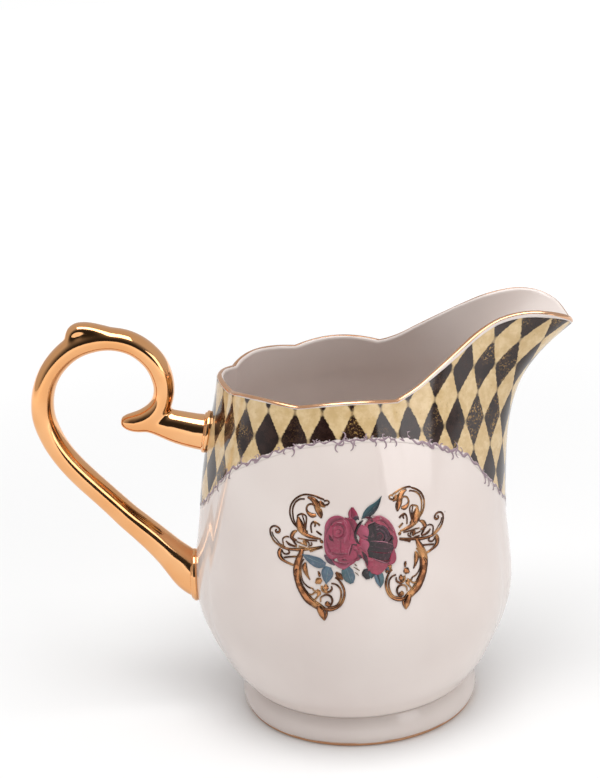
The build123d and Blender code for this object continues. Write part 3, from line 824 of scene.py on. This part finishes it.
ROSES = [
    (ROSE, ROSE, (0.28, 2.12, 3.18, 3.53, 3.71, 3.85, 4.03, 3.46, 2.4, 1.27, 0.21), [(-3.71, 62.55), (-3.75, 61.87),
        (-3.21, 60.43), (-3.63, 59.01), (-3.64, 57.58), (-3.6, 56.15), (-3.17, 54.7), (-2.7, 53.24), (-2.98, 52.09),
        (-3.33, 51.09), (-3.44, 50.48)]),
    (ROSE_LIGHT, ROSE_SHADE, (0.07, 0.56, 0.64, 0.56, 0.07), [(-7, 58.3), (-6.46, 60.31), (-5.4, 61.77),
        (-3.72, 62.37), (-2.11, 62.04)]),
    (ROSE, ROSE_SHADE, (0.07, 0.59, 0.68, 0.28), [(-2.37, 62.33), (-0.93, 61.63), (-0.25, 60.16), (-0.17, 58.3)]),
    (ROSE, ROSE_LIGHT, (0.07, 0.42, 0.56, 0.14), [(-2.61, 61.98), (-2.12, 60.4), (-2.21, 58.4), (-2.76, 56.56)]),
    (ROSE_SHADE, ROSE_LIGHT, (0.07, 0.49, 0.54, 0.14), [(-6.92, 57.73), (-6.94, 55.87), (-6.25, 54.36),
        (-5.16, 53.5)]),
    (ROSE, ROSE_SHADE, (0.06, 0.31, 0.4, 0.4, 0.37, 0.28, 0.06), [(-5.38, 59.89), (-4.38, 60.95), (-3.04, 60.78),
        (-2.49, 59.56), (-3.01, 58.14), (-4.31, 57.74), (-5.26, 58.46)]),
    (ROSE, ROSE_SHADE, (0.04, 0.17, 0.21, 0.17, 0.04), [(-4.63, 59.46), (-3.82, 59.87), (-3.33, 59.22), (-3.9, 58.66),
        (-4.52, 58.96)]),
    (ROSE_SHADE, WINE, (0.06, 0.4, 0.07), [(-6.19, 58.53), (-5.82, 57.67), (-5.22, 56.96)]),
    (ROSE_SHADE, ROSE, (0.06, 0.42, 0.49, 0.08), [(-6.59, 54.72), (-4.99, 53.93), (-3.3, 53.76), (-1.57, 54.28)]),
    (ROSE_SHADE, ROSE_LIGHT, (0.06, 0.59, 0.68, 0.08), [(-5.86, 52.64), (-4.43, 51.66), (-3.03, 51.34),
        (-1.57, 52.11)]),
    (WINE, ROSE_SHADE, (0.11, 0.2, 0.14, 0.04), [(-1.01, 56.27), (-1.3, 55.35), (-1.57, 54.57), (-1.89, 53.67)]),
    (WINE, WINE, (0.11, 0.18, 0.07), [(-1.04, 56.2), (-0.29, 56.08), (0.52, 55.87)]),
    (ROSE, ROSE_SHADE, (0.08, 0.45, 0.54, 0.42, 0.07), [(-1.01, 55.04), (-0.04, 54.84), (0.42, 53.95), (0.04, 52.82),
        (-1.11, 52.52)]),
    (WINE, MAUVE, (0.06, 0.35, 0.08), [(0.1, 53.75), (0.61, 53.28), (0.92, 52.87)]),
    (PALE_EDGE, ROSE_LIGHT, (0.02, 0.08, 0.03), [(-1.27, 56.21), (-1.79, 55.15), (-2.14, 53.73)]),
    (ROSE_SHADE, WINE, (0.03, 0.21, 0.04), [(-3.68, 52.69), (-2.94, 52.76), (-2.28, 52.48)]),
    (ROSE_SHADE, ROSE, (0.03, 0.16, 0.04), [(-4.89, 60.89), (-5.28, 59.03), (-5.17, 56.6)]),
    (ROSE, ROSE_SHADE, (0.03, 0.16, 0.13, 0.03), [(-3.73, 57.58), (-3.52, 56.43), (-3.74, 55.29), (-3.56, 54.13)]),
    (ROSE_SHADE, ROSE, (0.03, 0.14, 0.04), [(-1.38, 61.36), (-1.22, 59.5), (-1.74, 56.95)]),
    (PALE_EDGE, ROSE_LIGHT, (0.02, 0.08, 0.03), [(-2.82, 62.06), (-2.21, 61.54), (-1.85, 60.67)]),
    (PALE_EDGE, ROSE, (0.02, 0.06, 0.02), [(-6.4, 54.29), (-5.44, 53.65), (-4.31, 53.42)]),
    (CORAL, CORAL, (0.21, 1.41, 2.61, 3.32, 3.85, 4.52, 4.8, 4.24, 3.57, 3.39, 3.25, 2.12, 0.42), [(5.24, 62.1),
        (5.14, 61.73), (4.82, 61.2), (4.62, 60.51), (4.5, 59.74), (4.34, 58.47), (4.58, 57.01), (4.68, 55.56),
            (4.5, 54.28), (4.91, 52.86), (4.99, 51.84), (5.23, 51.15), (6.81, 50.54)]),
    (PALE_EDGE, CORAL, (0.04, 0.21, 0.28, 0.21, 0.06), [(3.8, 62.17), (5.67, 61.95), (7.34, 60.65), (8.55, 58.89),
        (9.25, 56.91)]),
    (CORAL, ROSE_SHADE, (0.07, 0.42, 0.49, 0.11), [(4.3, 61.05), (6.19, 61.09), (7.57, 59.76), (8.48, 57.75)]),
    (WINE, WINE_BLACK, (0.78, 2.19, 2.82, 2.97, 3.04, 2.33), [(3.56, 60.7), (4.21, 58.63), (5.08, 56.52),
        (5.32, 54.76), (5.01, 53.35), (4.57, 52.18)]),
    (ROSE_LIGHT, ROSE, (0.42, 1.34, 1.2, 0.49), [(0.83, 60.52), (1.38, 59.19), (1.74, 58.16), (2.03, 57.13)]),
    (ROSE_LIGHT, ROSE, (0.28, 1.13, 0.92, 0.21), [(1.09, 56.92), (1.6, 56.02), (1.78, 55.14), (1.99, 54.33)]),
    (MAUVE, WINE_BLACK, (0.04, 0.28, 0.37, 0.11), [(4.12, 59.5), (5.73, 59.73), (6.91, 58.71), (7.31, 57.07)]),
    (MAUVE, WINE_BLACK, (0.04, 0.25, 0.31, 0.31, 0.25, 0.04), [(3.72, 57.82), (4.95, 58.97), (6.29, 58.22),
        (6.63, 56.74), (5.55, 55.95), (4.21, 56.48)]),
    (ROSE_SHADE, WINE_BLACK, (0.04, 0.18, 0.21, 0.17, 0.04), [(4.5, 57.59), (5.27, 58.21), (5.95, 57.55),
        (5.61, 56.81), (4.82, 56.98)]),
    (PALE_EDGE, WINE_BLACK, (0.04, 0.13, 0.13, 0.04), [(3.07, 56.63), (4.85, 56.34), (6.57, 55.89), (8.29, 55.05)]),
    (MAUVE, WINE_BLACK, (0.04, 0.11, 0.11, 0.04), [(3.2, 55.46), (5.04, 54.79), (6.76, 54.3), (8.62, 54.34)]),
    (ROSE_SHADE, WINE_BLACK, (0.04, 0.18, 0.18, 0.04), [(2.78, 54.4), (4.68, 53.76), (6.7, 53.35), (8.27, 53.61)]),
    (WINE, WINE_BLACK, (0.14, 0.35, 0.3, 0.27, 0.3, 0.11), [(1.64, 61.52), (0.69, 60.53), (-0.08, 59.15),
        (-0.27, 58.02), (0.05, 56.92), (0.66, 56.16)]),
    (WINE, ROSE_SHADE, (0.1, 0.45, 0.17), [(2.23, 62.23), (3.21, 61.85), (3.81, 61.03)]),
    (ROSE_SHADE, CORAL, (0.04, 0.21, 0.06), [(1.94, 60.5), (2.88, 61.2), (3.71, 61.71)]),
    (ROSE, CORAL, (0.17, 0.64, 0.81, 0.35), [(8.4, 54.03), (8.2, 52.47), (7.83, 51.37), (6.97, 50.86)]),
    (CORAL, ROSE, (0.49, 0.78, 0.49, 0.04), [(2.92, 52.22), (2.97, 51.41), (2.63, 50.58), (2.12, 49.83)]),
    (WINE, WINE, (0.1, 0.42, 0.35, 0.07), [(1, 54.48), (1.54, 53.57), (1.89, 52.39), (2.08, 50.99)]),
    (PALE_EDGE, WINE, (0.03, 0.13, 0.13, 0.04), [(3.15, 52.84), (4.28, 52.14), (5.69, 51.41), (6.87, 51.02)]),
    (CRIMSON, WINE, (0.04, 0.28, 0.06), [(5.57, 51.86), (6.58, 51.53), (7.54, 51.59)]),
    (WINE_BLACK, WINE_BLACK, (0.04, 0.31, 0.08), [(3.92, 60.8), (4.19, 59.06), (4.4, 57.17)]),
    (WINE_BLACK, WINE, (0.1, 0.35, 0.11), [(7.97, 57.4), (8.16, 56.44), (7.12, 55.74)]),
    (PALE_EDGE, ROSE_LIGHT, (0.02, 0.07, 0.02), [(1.05, 57.35), (1.76, 56.98), (2.59, 56.99)]),
    (MAUVE, WINE, (0.03, 0.13, 0.03), [(1.53, 58.18), (2.35, 57.65), (3.24, 57.73)]),
]


def ribbon(bm, place, points, widths, lift, left, right):
    """Lays a patch along the smooth line through the points, on the surface that place(across, height, lift)
    gives. Its colour runs from left to right across the line."""
    widest = max(widths)
    length = sum(math.dist(a, b) for a, b in zip(points, points[1:]))
    along = max(6, round(length / 0.3))
    across = 2 if widest < 0.25 else 2 * math.ceil(widest / 0.45)
    line = evenly(points, along + 1)
    patch = bmesh.ops.create_grid(bm, x_segments=along, y_segments=across, size=0.5)["verts"]
    tint = bm.verts.layers.float_color["tint"]
    for vert in patch:
        i, side = round((vert.co.x + 0.5) * along), 2 * vert.co.y
        before, after = line[max(i - 1, 0)], line[min(i + 1, along)]
        run = math.dist(before, after)
        way = (after[0] - before[0]) / run, (after[1] - before[1]) / run
        half = max(0.004, smooth_curve([(w,) for w in widths], i / along)[0]) * side
        vert.co = place(line[i][0] - way[1] * half, line[i][1] + way[0] * half, lift)
        vert[tint] = [lerp(a, b, ease((1 - side) / 2)) for a, b in zip(left, right)]


def outward(bm):
    """Turns the faces of loose patches away from the jug's axis."""
    bm.normal_update()
    inward = [f for f in bm.faces if f.normal.dot(Vector((*f.calc_center_median().xy, 0))) < 0]
    bmesh.ops.reverse_faces(bm, faces=inward)


def flank(side):
    """Places a print on the near flank, side -1, or the far one, reading the same way round on each."""
    def place(across, height, lift):
        return on_wall(side * pi / 2 + across / crest_radius(height), height, lift)
    return place


def tinted_mesh():
    bm = bmesh.new()
    bm.verts.layers.float_color.new("tint")
    return bm


PATCH_WALL = 0.012
LAYER = 0.0022               # each patch lies this much over the one before it
ROSE_LIFT = 0.12             # the roses lie this much over the scroll work
SCROLL_REACH = 20.8          # how far across the drawn scroll work reaches
MIRROR_WIDTH, MIRROR_HEIGHT = 0.89, 0.96  # the mirrored one's size beside it
FILLED_OVER = 0.15           # strokes with a greater half width are filled
SCROLL_OUTER = 21.5          # the mirrored scroll work's farthest point across, and its top
SCROLL_TOP = 67.3


def mirror(across, height):
    """The scroll work on the right is the left one turned over, and a little smaller."""
    return (
        SCROLL_OUTER + (-across - SCROLL_REACH) * MIRROR_WIDTH,
        SCROLL_TOP + (height - SCROLL_TOP) * MIRROR_HEIGHT,
    )


def scroll_print(side):
    """Each stroke is a dark line, and the wider ones are filled with copper."""
    bm = tinted_mesh()
    for i, (widths, points) in enumerate(SCROLL):
        for mirrored in (False, True):
            drawn = [mirror(s, h) for s, h in points] if mirrored else points
            outline = [0.1 + 1.35 * w for w in widths]
            ribbon(bm, flank(side), drawn, outline, GILT_LIFT + LAYER * i, DARK_LUSTRE, DARK_LUSTRE)
            if max(widths) > FILLED_OVER:
                fill = [max(0.0, 1.05 * w - 0.08) for w in widths]
                ribbon(bm, flank(side), drawn, fill, GILT_LIFT + LAYER * (i + 0.6), COPPER, COPPER)
    outward(bm)
    return bm


def rose_print(side):
    bm = tinted_mesh()
    for i, (left, right, widths, points) in enumerate(LEAVES + BUD + ROSES):
        ribbon(bm, flank(side), points, widths, GILT_LIFT + ROSE_LIFT + LAYER * i, left, right)
    outward(bm)
    return bm


def enamel(name, strength):
    """Printed ceramic colours under the glaze: each patch's tint, stippled as a litho print is."""
    finish = Finish(name, **GLAZE)
    tint = finish.add("ShaderNodeAttribute", attribute_name="tint").outputs["Color"]
    stipple = finish.grain(1500.0, detail=4, roughness=0.7)
    wash = finish.grain(380.0, detail=3)
    light = finish.sum("MULTIPLY", finish.spread(stipple, 0.5, 0.72), strength)
    folds = finish.grain(240.0, detail=4, roughness=0.6, distortion=1.2)
    shade = finish.sum("MAXIMUM", finish.spread(wash, 0.6, 0.4), finish.spread(folds, 0.55, 0.42))
    dark = finish.sum("MULTIPLY", shade, strength * 2)
    deep = finish.add("ShaderNodeGamma", {"Color": tint, "Gamma": 1.2}).outputs["Color"]
    toned = finish.mix(light, deep, rgb(226, 170, 178))
    finish.colour(finish.mix(dark, toned, rgb(30, 16, 22)))
    finish.relief(finish.sum("ADD", finish.grain(60.0, detail=1), finish.sum("MULTIPLY", stipple, 0.1)), 0.05, 0.6)
    finish.set("Roughness", finish.spread(wash, 0.3, 0.7, 0.1, 0.18))
    return finish.material


def lustre():
    """Gold lustre printed thinly, brown where it is worn."""
    finish = Finish("scroll_lustre", Metallic=1.0)
    tint = finish.add("ShaderNodeAttribute", attribute_name="tint").outputs["Color"]
    wear = finish.grain(620.0, detail=4, roughness=0.65)
    rubbed = finish.mix(finish.spread(wear, 0.42, 0.60, 0.0, 0.75), tint, rgb(92, 60, 44))
    bright = finish.spread(finish.grain(260.0, detail=2), 0.5, 0.62, 0.0, 0.5)
    finish.colour(finish.mix(bright, rubbed, rgb(206, 156, 106)))
    finish.set("Roughness", finish.spread(wear, 0.3, 0.7, 0.14, 0.3))
    finish.relief(finish.grain(900.0, detail=2), 0.01, 0.5)
    return finish.material


ENAMEL = enamel("rose_enamel", 0.12)
THREAD = enamel("fringe_enamel", 0.05)
LUSTRE = lustre()
FLANKS = ((-1, "near"), (1, "far"))
for side, flank_name in FLANKS:
    stands_for = [f"{flank_name}_rose_transfer"]
    scrolls, roses = scroll_print(side), rose_print(side)
    finish_piece(f"{flank_name}_scroll_gilding", scrolls, LUSTRE, wall=PATCH_WALL, loose=True)
    finish_piece(f"{flank_name}_rose_print", roses, ENAMEL, stands_for, wall=PATCH_WALL, loose=True)


# ---- fringe under the diamonds ----
EDGE_STEPS = 720
EDGE = [under_arch(2 * pi * i / EDGE_STEPS) for i in range(EDGE_STEPS // 2 + 1)]
FRINGE_LENGTH = pi * 34.5    # from the spout's middle round one flank to the handle


def along_edge(side):
    """Places a print by its distance round from the spout and its drop under the diamonds' edge."""
    def place(along, drop, lift):
        share = clamp(along / FRINGE_LENGTH)
        i = min(int(share * (len(EDGE) - 1)), len(EDGE) - 2)
        edge = lerp(EDGE[i], EDGE[i + 1], share * (len(EDGE) - 1) - i)
        return on_wall(side * pi * share, edge - drop, lift)
    return place


THREAD_LIFT = 0.085
SPRIG_LIFT = 0.09
SPRIG_WIDTHS = (0.2, 0.19, 0.14, 0.06)
THORN = [(0, 0), (0.55, 0.75), (0.45, 1.5), (-0.1, 1.95)]
CURL = [(0, 0), (0.75, 0.35), (1.25, 0.05), (1.1, -0.5), (0.65, -0.45)]
SPRIG = [(0, 0), (-0.5, -0.6), (-0.3, -1.25), (0.25, -1.5)]


def fringe(side):
    """A lilac thread that wanders along the edge, with thorns below it and curls and sprigs over the diamonds."""
    bm = tinted_mesh()
    chance = random.Random(11)
    thread, along = [], 0.4
    while along < FRINGE_LENGTH - 0.4:
        thread.append((along, 0.25 + 0.55 * (-1) ** len(thread) * chance.uniform(0.3, 1)))
        along += chance.uniform(1.0, 1.9)
    for start in range(0, len(thread) - 1, 6):
        points = thread[start:start + 7]
        if len(points) > 2:
            widths = [chance.uniform(0.14, 0.36) for _ in points]
            ribbon(bm, along_edge(side), points, widths, THREAD_LIFT, LILAC, LILAC_GREY)
    for i, (along, drop) in enumerate(thread[1:-2]):
        for shape, often in ((THORN, 0.35), (CURL, 0.4), (SPRIG, 0.35)):
            if chance.random() < often:
                size, turned_back = chance.uniform(0.5, 1.3), chance.choice((-1, 1))
                shift = chance.uniform(-0.4, 0.4)
                points = [(along + shift + turned_back * size * x, drop + size * z) for x, z in shape]
                if 0 < min(p[0] for p in points) and max(p[0] for p in points) < FRINGE_LENGTH:
                    lift = SPRIG_LIFT + 0.0004 * i
                    ribbon(bm, along_edge(side), points, SPRIG_WIDTHS, lift, LILAC, LILAC_GREY)
    outward(bm)
    return bm


for side, flank_name in FLANKS:
    finish_piece(f"{flank_name}_fringe", fringe(side), THREAD, wall=PATCH_WALL, loose=True)


# ---- stage ----
def grid_plane(name, half, material, place):
    bm = bmesh.new()
    bmesh.ops.create_grid(bm, x_segments=2, y_segments=2, size=half)
    bmesh.ops.transform(bm, matrix=place, verts=bm.verts)
    plane = as_object(name, bm)
    plane.data.materials.append(material)
    plane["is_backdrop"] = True


def paper():
    finish = Finish("white_paper", Roughness=0.9)
    finish.colour(finish.mix(finish.grain(3.0), rgb(230, 230, 230), rgb(233, 233, 233)))
    finish.shader.inputs["Emission Color"].default_value = (1, 1, 1, 1)
    reach = finish.add("ShaderNodeVectorMath", {0: finish.object_place}, operation="LENGTH").outputs["Value"]
    finish.set("Emission Strength", finish.spread(reach, 0.1, 0.9, 0.06, 0.65))
    return finish.material


FLOOR_GAP = 0.02             # keeps the floor out of the foot's resting face
grid_plane("studio_floor", 6.0, paper(), Matrix.Translation((0, 0, -FLOOR_GAP * MM)))


def area_light(name, place, aim, size, power, colour=(1, 1, 1)):
    light = bpy.data.lights.new(name, "AREA")
    light.shape = "RECTANGLE"
    light.size, light.size_y = size
    light.energy = power
    light.color = colour
    lamp = bpy.data.objects.new(name, light)
    lamp.location = place
    lamp.rotation_euler = (Vector(aim) - Vector(place)).to_track_quat("-Z", "Y").to_euler()
    bpy.context.scene.collection.objects.link(lamp)


jug_middle = (0, 0, 0.06)
area_light("key_softbox", (0.6, -0.62, 0.28), jug_middle, (0.32, 0.45), 1.15, (1.0, 0.98, 0.98))
area_light("top_softbox", (0.0, -0.3, 1.1), jug_middle, (0.9, 0.7), 10.0)


def studio_world():
    """White all round for what the camera sees; the room in front of the jug is dimmer in its reflections."""
    world = bpy.data.worlds.new("studio")
    bpy.context.scene.world = world
    world.use_nodes = True
    tree = world.node_tree
    background = tree.nodes["Background"]
    background.inputs["Color"].default_value = (1, 1, 1, 1)
    place = tree.nodes.new("ShaderNodeTexCoord")
    parts = tree.nodes.new("ShaderNodeSeparateXYZ")
    tree.links.new(place.outputs["Generated"], parts.inputs[0])
    shade = tree.nodes.new("ShaderNodeMapRange")
    shade.interpolation_type = "SMOOTHSTEP"
    for key, value in (("From Min", -0.94), ("From Max", -0.2), ("To Min", 0.03), ("To Max", 0.62)):
        shade.inputs[key].default_value = value
    tree.links.new(parts.outputs["Y"], shade.inputs["Value"])
    path = tree.nodes.new("ShaderNodeLightPath")
    choose = tree.nodes.new("ShaderNodeMix")
    choose.inputs["B"].default_value = 1.0
    tree.links.new(path.outputs["Is Camera Ray"], choose.inputs["Factor"])
    tree.links.new(shade.outputs["Result"], choose.inputs["A"])
    tree.links.new(choose.outputs["Result"], background.inputs["Strength"])


studio_world()

# ---- camera ----
CAMERA_PLACE = Vector((-10.57, -348.49, 186.9)) * MM
PITCH = radians(16.68)
ROLL = radians(3.71)
LENS = 68.68

forward = Vector((0, cos(PITCH), -sin(PITCH)))
up = Vector((0, sin(PITCH), cos(PITCH)))
right = Vector((1, 0, 0))
camera_x = cos(ROLL) * right - sin(ROLL) * up
camera_y = sin(ROLL) * right + cos(ROLL) * up
camera_data = bpy.data.cameras.new("camera")
camera_data.lens = LENS
camera_data.sensor_fit = "AUTO"
camera_data.sensor_width = 36
camera_data.clip_start = 0.01
camera = bpy.data.objects.new("camera", camera_data)
camera.matrix_world = Matrix.Translation(CAMERA_PLACE) @ Matrix((camera_x, camera_y, -forward)).transposed().to_4x4()
bpy.context.scene.collection.objects.link(camera)
bpy.context.scene.camera = camera
bpy.context.scene.view_settings.view_transform = "Standard"

boxes = {"cad": cad_box, "visual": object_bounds()}
{name: [list(corner) for corner in box] for name, box in boxes.items()}
